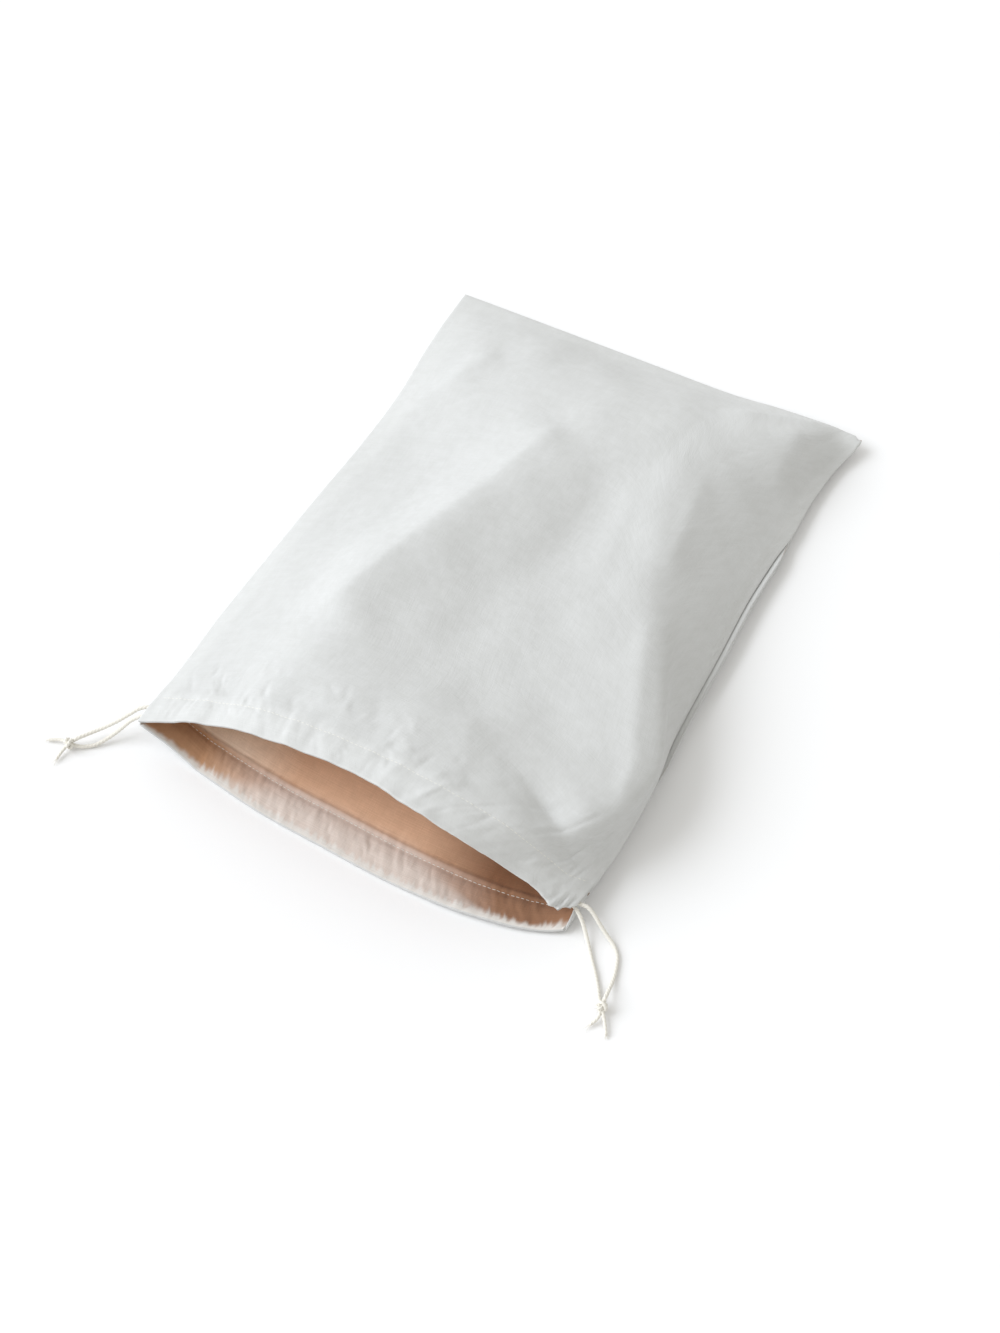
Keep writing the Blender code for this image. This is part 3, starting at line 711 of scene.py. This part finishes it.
def linenMaterial(name, light, dark):
    # undyed woven linen, seen from a step away: faint thread lines, thicker slub threads both
    # ways and a soft mottling where the cloth is uneven, over the tint that each cloth carries,
    # which holds painted light and shade
    material, tree = freshMaterial(name)
    uvMap = addNode(tree, "ShaderNodeUVMap", {"uv_map": "cloth"})
    inMm = addNode(tree, "ShaderNodeVectorMath", {"operation": "SCALE", "Scale": 1 / mm},
                   {0: (uvMap, "UV")})

    def slubs(alongU, seed):
        # noise drawn out along one thread direction
        long, thin = 1 / linen["slubLength"], 1 / linen["slubWidth"]
        size = (long, thin, 1.0) if alongU else (thin, long, 1.0)
        stretched = addNode(tree, "ShaderNodeVectorMath", {"operation": "MULTIPLY", 1: size},
                            {0: (inMm, "Vector")})
        detail, rough = linen["slubDetail"]
        return addNode(tree, "ShaderNodeTexNoise",
                       {"noise_dimensions": "4D", "W": seed, "Scale": 1.0, "Detail": detail,
                        "Roughness": rough}, {"Vector": (stretched, "Vector")})

    def threads(axis):
        # rounded thread backs: one sine wave to each thread's pitch
        part = addNode(tree, "ShaderNodeSeparateXYZ", None, {"Vector": (inMm, "Vector")})
        turn = addNode(tree, "ShaderNodeMath", {"operation": "MULTIPLY",
                                                1: 2 * math.pi / linen["threadPitch"]},
                       {0: (part, axis)})
        return addNode(tree, "ShaderNodeMath", {"operation": "SINE"}, {0: (turn, "Value")})

    weftSeed, warpSeed = linen["slubSeeds"]
    weft, warp = slubs(True, weftSeed), slubs(False, warpSeed)
    slub = addNode(tree, "ShaderNodeMath", {"operation": "ADD"},
                   {0: (weft, "Fac"), 1: (warp, "Fac")})
    detail, rough = linen["mottleDetail"]
    mottle = addNode(tree, "ShaderNodeTexNoise",
                     {"Scale": 1 / linen["mottleSize"], "Detail": detail, "Roughness": rough},
                     {"Vector": (inMm, "Vector")})
    mixed = addNode(tree, "ShaderNodeMath", {"operation": "MULTIPLY_ADD", 1: linen["slubShare"]},
                    {0: (slub, "Value"), 2: (mottle, "Fac")})
    darkAt, lightAt = linen["toneRange"]
    tone = addNode(tree, "ShaderNodeMapRange", {"From Min": darkAt, "From Max": lightAt},
                   {"Value": (mixed, "Value")})
    colour = addNode(tree, "ShaderNodeMix", {"data_type": "RGBA", 6: hexColour(dark),
                                             7: hexColour(light)}, {0: (tone, "Result")})
    tint = addNode(tree, "ShaderNodeAttribute", {"attribute_name": "tint"})
    colour = addNode(tree, "ShaderNodeMix", {"data_type": "RGBA", "blend_type": "MULTIPLY",
                                             0: 1.0}, {6: (tint, "Color"), 7: (colour, 2)})
    weave = addNode(tree, "ShaderNodeMath", {"operation": "MULTIPLY"},
                    {0: (threads("X"), "Value"), 1: (threads("Y"), "Value")})
    height = addNode(tree, "ShaderNodeMath",
                     {"operation": "MULTIPLY_ADD", 1: linen["weaveHeight"]},
                     {0: (weave, "Value"), 2: (slub, "Value")})
    lumps = addNode(tree, "ShaderNodeMath",
                    {"operation": "MULTIPLY_ADD", 1: linen["mottleHeight"]},
                    {0: (mottle, "Fac"), 2: (height, "Value")})
    bump = addNode(tree, "ShaderNodeBump",
                   {"Strength": linen["bumpStrength"], "Distance": linen["bumpDepth"] * mm},
                   {"Height": (lumps, "Value")})
    shader = addNode(tree, "ShaderNodeBsdfPrincipled",
                     {"Roughness": linen["roughness"], "Specular IOR Level": linen["specular"],
                      "Sheen Weight": linen["sheen"],
                      "Sheen Roughness": linen["sheenRoughness"]},
                     {"Base Color": (colour, 2), "Normal": (bump, "Normal")})
    addNode(tree, "ShaderNodeOutputMaterial", None, {"Surface": (shader, "BSDF")})
    return material


def cottonMaterial(name, colour, size):
    # soft twisted cotton: near white and matt, with a fine fuzz of fibres
    material, tree = freshMaterial(name)
    place = addNode(tree, "ShaderNodeTexCoord")
    fibre = addNode(tree, "ShaderNodeTexNoise",
                    {"Scale": 1 / (size * mm), "Detail": cotton["fibreDetail"]},
                    {"Vector": (place, "Object")})
    bump = addNode(tree, "ShaderNodeBump",
                   {"Strength": cotton["bumpStrength"], "Distance": cotton["bumpDepth"] * mm},
                   {"Height": (fibre, "Fac")})
    shader = addNode(tree, "ShaderNodeBsdfPrincipled",
                     {"Base Color": hexColour(colour), "Roughness": cotton["roughness"],
                      "Specular IOR Level": cotton["specular"], "Sheen Weight": cotton["sheen"]},
                     {"Normal": (bump, "Normal")})
    addNode(tree, "ShaderNodeOutputMaterial", None, {"Surface": (shader, "BSDF")})
    return material


linenOutside = linenMaterial("greyLinen", *linen["outside"])
# the inner face's material, multiplied by its painted light and shade
linenInside = linenMaterial("linenInsidePaintedLight", *linen["inside"])
cottonCord = cottonMaterial("twistedCotton", *cotton["cord"])
sewingThread = cottonMaterial("sewingThread", *cotton["thread"])


def tubeGrid(path, radius, reference, lobes=0, pitch=8.0, depth=0.0, sides=20, closed=False):
    # rings at right angles to the path; with lobes, radius * (1 - depth * (1 - |cos|)) turning
    # once in each pitch draws that many twisted strands; on a closed path the twist meets itself
    travelled = arcLength(path, 0)
    if closed:
        ahead = unit(np.roll(path, -1, axis=0) - np.roll(path, 1, axis=0))
    else:
        ahead = unit(np.gradient(path, axis=0))
    side = unit(np.cross(ahead, reference))
    up = np.cross(side, ahead)
    turn = np.linspace(0, 2 * math.pi, sides, endpoint=False)[None, :]
    size = np.full(turn.shape, 1.0)
    if lobes and closed:
        around = travelled[-1] + np.linalg.norm(path[0] - path[-1])
        pitch = around * lobes / round(around * lobes / pitch)
    if lobes:
        wave = np.abs(np.cos(lobes / 2 * (turn - 2 * math.pi * travelled[:, None] / pitch)))
        size = 1 - depth * (1 - wave)
    ring = np.asarray(radius).reshape(-1, 1) * size
    return (path[:, None] + side[:, None] * (ring * np.cos(turn))[..., None]
            + up[:, None] * (ring * np.sin(turn))[..., None])


def tubeFaces(rings, sides, first=0, closed=False):
    # quads from ring to ring, facing out; each open end is filled with quads from side to side
    ids = np.arange(rings * sides).reshape(rings, sides) + first
    wrapped = np.concatenate((ids, ids[:, :1]), axis=1)
    if closed:
        return gridFaces(np.concatenate((wrapped, wrapped[:1])), flipped=True)
    k = np.arange(sides // 2 - 1)
    fills = [np.stack((ring[k], ring[k + 1], ring[-k - 2], ring[-k - 1]), axis=-1)
             for ring in (ids[0], ids[-1, ::-1])]
    return np.concatenate([gridFaces(wrapped, flipped=True)] + fills)


def joinedTubes(grids):
    # several tubes as one list of points and one of faces; each grid comes with whether its path
    # is closed
    points, faces, first = [], [], 0
    for grid, closed in grids:
        rings, sides = grid.shape[:2]
        faces.append(tubeFaces(rings, sides, first, closed))
        points.append(grid.reshape(-1, 3))
        first += rings * sides
    return np.concatenate(points), np.concatenate(faces)


def roundedEnds(path, radius, both=True, tip=0.02):
    # half-round ends: radius * sqrt(share * (2 - share)) by the share of a radius travelled from
    # the end, and never under the tip's share of it
    travelled = arcLength(path, 0)
    left = travelled[-1] - travelled
    near = np.minimum(travelled, left) if both else left
    share = np.clip(near / radius, 0.0, 1.0)
    return radius * np.sqrt(np.maximum(share * (2 - share), tip ** 2))


def smoothPath(points, step):
    # a smooth curve through the points, read at even steps of about this length
    points = np.asarray(points, dtype=float)
    travelled = arcLength(points, 0)
    count = max(int(round(travelled[-1] / step)), 3) + 1
    return smoothThrough(travelled, points, np.linspace(0, travelled[-1], count))


# the drawcord's four free ends and their two knots; mm
cord = {
    "diameter": 2.5,
    "step": 0.4,
    "pitch": 7.0,              # one turn of its three twisted strands, and how deep they part
    "lobes": 3,
    "depth": 0.30,
    "tailDiameter": 2.1,
    "knotEntry": 0.55,         # share of the way to a knot's middle that a strand still runs
    "knotPress": 0.92,         # the cord's thickness in the knot, as a share
    "knotRadius": 4.0,
    "knotRise": 1.55,
    "knotSteps": 220,
    # loose fibres at each tail's end: how many, their reach and its spread, and their form
    "fibres": 9,
    "fibreSeed": 5,
    "fibreLength": 4.2,
    "fibreShares": (0.6, 1.1),
    "fibreSpread": 0.42,
    "fibreFlatness": 0.35,
    "fibreRoot": 5,            # steps of the cord before its end
    "fibreRadius": 0.16,
    "fibreTaper": 0.6,
    "fibreClear": 0.05,        # above the surface
    "fibreSteps": 8,
    "fibreSides": 6,
}
# from the hem to the knot, layout mm; the first point lies inside the hem
strands = {
    "left_strand_upper": ((-143.6, -185.2, 19.6), (-149.0, -187.0, 19.5), (-153.2, -189.4, 18.3),
                          (-157.1, -192.8, 15.4), (-163.5, -199.1, 10.8), (-168.4, -203.8, 8.0),
                          (-173.1, -208.3, 6.2), (-177.3, -213.4, 5.6), (-180.4, -217.6, 5.4)),
    "left_strand_lower": ((-143.6, -188.8, 18.2), (-148.4, -191.8, 17.3), (-155.0, -196.0, 13.6),
                          (-160.0, -201.6, 8.2), (-165.5, -208.7, 3.6), (-170.6, -214.8, 1.5),
                          (-175.2, -218.4, 1.4), (-179.0, -220.6, 2.2)),
    "right_strand_inner": ((124.0, -184.0, 12.4), (129.4, -186.0, 11.0), (133.2, -188.2, 9.6),
                           (137.0, -191.0, 6.8), (141.2, -195.2, 3.6), (145.6, -200.6, 1.7),
                           (150.0, -206.3, 1.3), (154.8, -212.2, 1.3), (160.0, -219.4, 1.4),
                           (164.4, -226.4, 2.2)),
    "right_strand_outer": ((125.5, -181.5, 12.6), (130.8, -183.0, 12.0), (135.4, -182.8, 11.8),
                           (139.8, -184.0, 9.8), (145.0, -186.6, 6.6), (150.8, -189.4, 3.4),
                           (156.4, -192.4, 1.6), (161.2, -197.6, 1.3), (163.9, -204.6, 1.3),
                           (165.6, -212.1, 1.8), (166.6, -219.8, 4.0), (167.2, -225.8, 5.8)),
}
# each knot's middle, the strands that it ties and the points of its two tails
knots = {
    "left_knot": {"piece": "leftKnot", "centre": (-183.4, -222.1, 4.1),
                  "strands": ("left_strand_upper", "left_strand_lower"),
                  "tails": (((-190.0, -221.6, 2.6), (-197.0, -224.6, 1.4)),
                            ((-184.8, -227.6, 2.6), (-185.2, -233.6, 1.4)))},
    "right_knot": {"piece": "rightKnot", "centre": (167.6, -230.2, 4.1),
                   "strands": ("right_strand_inner", "right_strand_outer"),
                   "tails": (((172.6, -236.8, 2.4), (176.6, -243.2, 1.4)),
                             ((168.2, -236.8, 2.6), (166.0, -241.6, 1.4)))},
}
upward = np.array((0.0, 0.0, 1.0))


def cordGrid(path, diameter, both=True):
    # a twisted cord along the path, rounded off at its end or at both
    return tubeGrid(path, roundedEnds(path, diameter / 2, both), upward, cord["lobes"],
                    cord["pitch"], cord["depth"])


def knotGrids(centre, axis, tails):
    # a trefoil about the strands' way through, two tails and their loose fibres; the trefoil is
    # size * (2 + cos 3t) out from the axis at the angle 2t, and rises along it by sin 3t
    centre, axis = np.array(centre), unit(np.array(axis))
    side = unit(np.cross(axis, upward))
    over = np.cross(side, axis)
    radius = cord["diameter"] / 2 * cord["knotPress"]
    size = (cord["knotRadius"] - radius) / 3
    t = np.linspace(0, 2 * math.pi, cord["knotSteps"], endpoint=False)[:, None]
    spoke = size * (2 + np.cos(3 * t))
    turned = side * np.cos(2 * t) + over * np.sin(2 * t)
    loop = centre + spoke * turned + axis * cord["knotRise"] * np.sin(3 * t)
    grids = [(tubeGrid(loop, radius, turned, cord["lobes"], cord["pitch"], cord["depth"],
                       closed=True), True)]
    rng = np.random.default_rng(cord["fibreSeed"])
    share = np.linspace(0, 1, cord["fibreSteps"] + 1)[:, None]
    root = cord["fibreRoot"]
    for tail in tails:
        path = smoothPath((centre, *tail), cord["step"])
        grids.append((cordGrid(path, cord["tailDiameter"], both=False), False))
        heading = unit(path[-1] - path[-root - 1])
        for _ in range(cord["fibres"]):
            spread = rng.normal(0, cord["fibreSpread"], 3) * (1, 1, cord["fibreFlatness"])
            reach = cord["fibreLength"] * rng.uniform(*cord["fibreShares"])
            fibre = path[-root] + heading * reach * share + spread * reach * share ** 2
            fibre[:, 2] = np.maximum(fibre[:, 2], cord["fibreRadius"] + cord["fibreClear"])
            thin = cord["fibreRadius"] * (1 - cord["fibreTaper"] * share[:, 0])
            grids.append((tubeGrid(fibre, thin, upward, sides=cord["fibreSides"]), False))
    return grids


def buildTies():
    # each strand runs from the hem into its knot, and the knot follows them as one piece
    for node, knot in knots.items():
        inwards, cords = [], []
        for name in knot["strands"]:
            route = np.array(strands[name], dtype=float)
            inward = np.array(knot["centre"]) - route[-1]
            inwards.append(inward)
            route = np.concatenate((route, [route[-1] + inward * cord["knotEntry"]]))
            path = smoothPath(route, cord["step"])
            points, faces = joinedTubes([(cordGrid(path, cord["diameter"]), False)])
            piece = newPiece(name.replace("_", ""), placed(points), faces, [cottonCord])
            cords.append((name, piece, path))
        grids = knotGrids(knot["centre"], sum(inwards), knot["tails"])
        points, faces = joinedTubes(grids)
        ball = newPiece(knot["piece"], placed(points), faces, [cottonCord])
        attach(ball, "root")
        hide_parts(node)
        for name, piece, path in cords:
            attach(piece, "root")
            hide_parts(name)


buildTies()
report("ties")


stitch = {
    "pitch": 2.9,
    "size": (1.1, 0.24, 0.15),      # half length, half width, half height
    "skip": (6.0, 10.0),            # left bare at each end of the front and of the back row
    "sides": 8,
    "rings": 5,
    "tip": 0.07,                    # where the first and last rings lie, as a share of its turn
}


def stitchRow(name, line, normals, skip):
    # half-sunk oval stitches, (a cos p, b sin p cos t, c sin p sin t) along, across and up, each
    # carried to its own even step along a line on the cloth
    travelled = arcLength(line, 0)
    at = np.arange(skip, travelled[-1] - skip, stitch["pitch"])
    centre = smoothThrough(travelled, line, at)
    up = unit(smoothThrough(travelled, normals, at))
    ahead = unit(smoothThrough(travelled, np.gradient(line, travelled, axis=0), at))
    aside = np.cross(up, ahead)
    polar = np.linspace(stitch["tip"], 1 - stitch["tip"], stitch["rings"])[:, None] * math.pi
    turn = np.linspace(0, 2 * math.pi, stitch["sides"], endpoint=False)[None, :]
    a, b, c = stitch["size"]
    oval = np.stack((a * np.cos(polar) + 0 * turn, b * np.sin(polar) * np.cos(turn),
                     c * np.sin(polar) * np.sin(turn)), axis=-1).reshape(-1, 3)
    points = (centre[:, None] + ahead[:, None] * oval[None, :, :1]
              + aside[:, None] * oval[None, :, 1:2] + up[:, None] * oval[None, :, 2:])
    one = tubeFaces(stitch["rings"], stitch["sides"])
    faces = (one[None] + np.arange(len(at))[:, None, None] * len(oval)).reshape(-1, 4)
    piece = newPiece(name, placed(points.reshape(-1, 3)), faces, [sewingThread])
    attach(piece, "root")
    return piece


def buildCloths():
    # each cloth is its underside, thickened by its hem and wrinkles and turned in to the seams
    front, fromMouth = frontUnderside()
    back = backUnderside(front, fromMouth)
    seams = seamLines(front)
    frontSkip, backSkip = stitch["skip"]

    thickness, swell = hemProfile(fromMouth)
    across = arcLength(front, 1)[:1]
    ripple = (gatherLift(across, fromMouth, frontCloth["fineGathers"])
              + puckerLift(across, fromMouth, frontCloth)
              + creaseLift(across, fromMouth, frontCloth["creases"]))
    hem = fade(fromMouth - frontCloth["hemRiseFrom"], frontCloth["hemRiseFade"])
    rise = frontCloth["skin"] + frontCloth["hemRise"] * hem + swell + ripple
    outer = front + gridNormals(front) * rise[..., None]
    beside = fade(across[:, -1:] - across, cloth["grooveInReach"])
    outer[..., 0] -= cloth["grooveIn"] * beside * grooveShare(front[..., 1])
    ruffled(outer, across, fromMouth)
    thick = withMargins(thickness, cloth["seamThickness"])
    # the outer skin's tint is partly painted light where the cloth lies double; the inner skin's
    # tint is painted light and shade
    frontPiece = clothPiece("frontCloth", withSeams(outer, seams), thick, 1,
                            doublingAndShadeTint(across, fromMouth),
                            paintedInsideTint(across, fromMouth, front[..., 1]))[0]
    row = int(np.argmin(np.abs(fromMouth[:, 0] - cloth["stitchAt"])))
    frontStitches = stitchRow("frontStitches", outer[row], gridNormals(outer)[row], frontSkip)

    across = arcLength(back, 1)[:1]
    backFrom = fromMouth[:, :1] + 0 * across
    thickness, swell = hemProfile(backFrom)
    ripple = (gatherLift(across, backFrom, backCloth["gathers"])
              + puckerLift(across, backFrom, backCloth)
              + creaseLift(across, backFrom, backCloth["creases"]))
    thickness = np.maximum(thickness + swell + ripple, backCloth["leastThickness"])
    thick = withMargins(thickness, cloth["seamThickness"])
    # the back cloth carries the same painted tints
    backPiece, inner = clothPiece("backCloth", withSeams(back, seams), thick, -1,
                                  doublingAndShadeTint(across, backFrom),
                                  paintedInsideTint(across, backFrom, back[..., 1]))
    k = cloth["rollSteps"]
    backStitches = stitchRow("backStitches", inner[row, k:-k],
                             gridNormals(inner)[row, k:-k], backSkip)
    for piece, node, thread in ((frontPiece, "upper_panel", frontStitches),
                                (backPiece, "lower_panel", backStitches)):
        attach(piece, "root")
        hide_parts(node)


buildCloths()
report("cloths")


studio = {
    "floorColour": "#f0efef",
    "floorReach": 3000.0,
    "floorDrop": 0.15,
    "floorRoughness": 0.9,
    "roomColour": "#fffffb",
    "room": 0.72,              # brightness all round
    "glowColour": "#f3f8ff",
    "glow": 0.85,              # added towards the window, by this power of the cosine
    "glowPower": 2.0,
    "window": (-0.99, -0.08, 0.12),
    "sunPower": 2.06,
    "sunSpread": 44.0,
    "sunFrom": (-0.745, -0.28, 0.605),
}


def makeStudio():
    # a flat pale floor under the bag, an even room and one broad sun from the window
    reach, drop = studio["floorReach"], -studio["floorDrop"]
    corners = np.array([(-reach, -reach, drop), (reach, -reach, drop),
                        (reach, reach, drop), (-reach, reach, drop)])
    material, tree = freshMaterial("palePaper")
    shader = addNode(tree, "ShaderNodeBsdfPrincipled",
                     {"Base Color": hexColour(studio["floorColour"]),
                      "Roughness": studio["floorRoughness"]})
    addNode(tree, "ShaderNodeOutputMaterial", None, {"Surface": (shader, "BSDF")})
    floor = newPiece("floor", corners * mm, [(0, 1, 2, 3)], [material])
    # the room is a white tent, room + glow * max(0, direction . window) ^ power
    world = bpy.data.worlds.new("studio")
    world.use_nodes = True
    tree = world.node_tree
    tree.nodes.clear()
    heading = addNode(tree, "ShaderNodeTexCoord")
    toWindow = addNode(tree, "ShaderNodeVectorMath",
                       {"operation": "DOT_PRODUCT", 1: studio["window"]},
                       {0: (heading, "Generated")})
    facing = addNode(tree, "ShaderNodeMath", {"operation": "MAXIMUM", 1: 0.0},
                     {0: (toWindow, "Value")})
    gathered = addNode(tree, "ShaderNodeMath", {"operation": "POWER", 1: studio["glowPower"]},
                       {0: (facing, "Value")})
    strength = addNode(tree, "ShaderNodeMath", {"operation": "MULTIPLY", 1: studio["glow"]},
                       {0: (gathered, "Value")})
    room = addNode(tree, "ShaderNodeBackground",
                   {"Color": hexColour(studio["roomColour"]), "Strength": studio["room"]})
    glow = addNode(tree, "ShaderNodeBackground", {"Color": hexColour(studio["glowColour"])},
                   {"Strength": (strength, "Value")})
    both = addNode(tree, "ShaderNodeAddShader", None,
                   {0: (room, "Background"), 1: (glow, "Background")})
    addNode(tree, "ShaderNodeOutputWorld", None, {"Surface": (both, "Shader")})
    bpy.context.scene.world = world
    light = bpy.data.lights.new("window", "SUN")
    light.energy = studio["sunPower"]
    light.color = hexColour(studio["glowColour"])[:3]
    light.angle = math.radians(studio["sunSpread"])
    sun = bpy.data.objects.new("window", light)
    bpy.context.collection.objects.link(sun)
    sun.rotation_euler = Vector(studio["sunFrom"]).to_track_quat("Z", "Y").to_euler()


makeStudio()
bpy.context.scene.view_settings.view_transform = "Standard"
report("studio")
